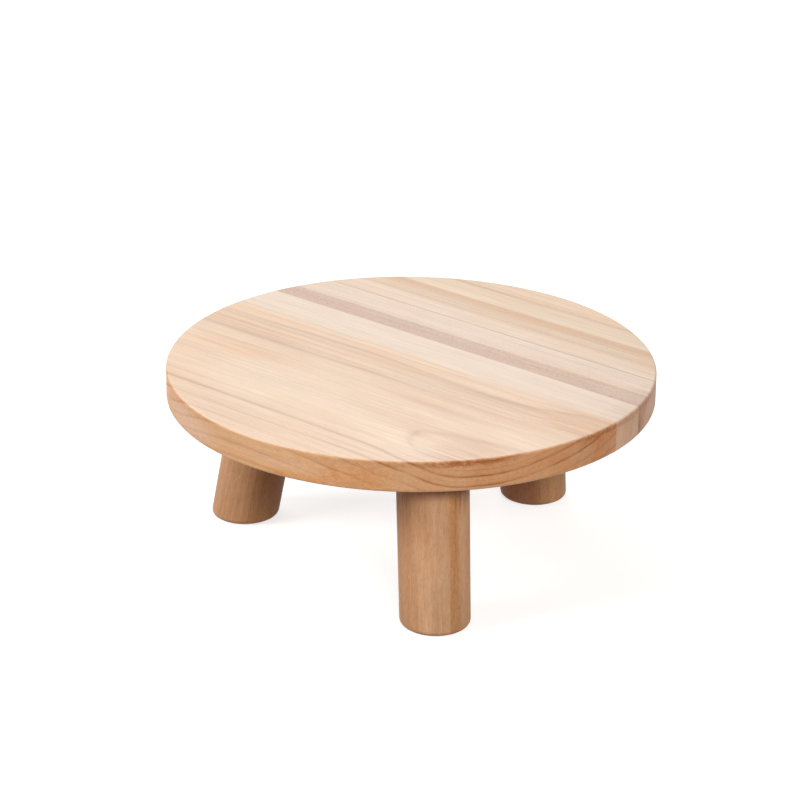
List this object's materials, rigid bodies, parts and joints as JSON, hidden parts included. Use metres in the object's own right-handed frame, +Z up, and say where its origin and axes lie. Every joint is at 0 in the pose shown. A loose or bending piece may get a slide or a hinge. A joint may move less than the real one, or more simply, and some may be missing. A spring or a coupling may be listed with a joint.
{
  "type": "round low table",
  "caption": "Round low tea table: a thick top of edge-glued boards on stout turned legs that lean outward and unscrew from the underside.",
  "frame": {"origin": "on the floor, below the middle of the round top", "axes": "+Z up through the middle of the top, -Y towards the front leg's side of the table"},
  "size_m": [0.5, 0.5, 0.2025],
  "materials": {
    "board_wood": "satin lacquer",
    "leg_wood": "satin lacquer",
    "bolt_steel": "bright zinc plated",
    "insert_metal": "zinc alloy, as cast",
    "ring_rubber": "matte",
    "pad_felt": "pressed felt"
  },
  "bodies": {
    "top": {"top_board_1": "board_wood", "top_board_2": "board_wood", "top_board_3": "board_wood", "top_board_4": "board_wood", "threaded_insert_front": "insert_metal", "threaded_insert_right": "insert_metal", "threaded_insert_left": "insert_metal"},
    "ring_front": {"grip_ring_front": "ring_rubber"},
    "leg_front": {"leg_front": "leg_wood", "hanger_bolt_front": "bolt_steel", "felt_pad_front": "pad_felt"},
    "ring_right": {"grip_ring_right": "ring_rubber"},
    "leg_right": {"leg_right": "leg_wood", "hanger_bolt_right": "bolt_steel", "felt_pad_right": "pad_felt"},
    "ring_left": {"grip_ring_left": "ring_rubber"},
    "leg_left": {"leg_left": "leg_wood", "hanger_bolt_left": "bolt_steel", "felt_pad_left": "pad_felt"}
  },
  "joints": [
    {"name": "ring_front_drop", "type": "slide", "parent": "top", "child": "ring_front", "axis": [0, 0, -1], "range_m": [0, 0.0139]},
    {"name": "leg_front_unscrew", "type": "hinge", "parent": "ring_front", "child": "leg_front", "pos_m": [0.02178, -0.15498, 0.17], "axis": [0, 0, -1], "range_deg": [0, 3312]},
    {"name": "ring_right_drop", "type": "slide", "parent": "top", "child": "ring_right", "axis": [0, 0, -1], "range_m": [0, 0.0139]},
    {"name": "leg_right_unscrew", "type": "hinge", "parent": "ring_right", "child": "leg_right", "pos_m": [0.12332, 0.09635, 0.17], "axis": [0, 0, -1], "range_deg": [0, 3312]},
    {"name": "ring_left_drop", "type": "slide", "parent": "top", "child": "ring_left", "axis": [0, 0, -1], "range_m": [0, 0.0139]},
    {"name": "leg_left_unscrew", "type": "hinge", "parent": "ring_left", "child": "leg_left", "pos_m": [-0.1451, 0.05863, 0.17], "axis": [0, 0, -1], "range_deg": [0, 3312]}
  ],
  "couplings": [
    {"joint": "ring_front_drop", "follows": "leg_front_unscrew", "m_per_rad": 0.00023873},
    {"joint": "ring_right_drop", "follows": "leg_right_unscrew", "m_per_rad": 0.00023873},
    {"joint": "ring_left_drop", "follows": "leg_left_unscrew", "m_per_rad": 0.00023873}
  ]
}
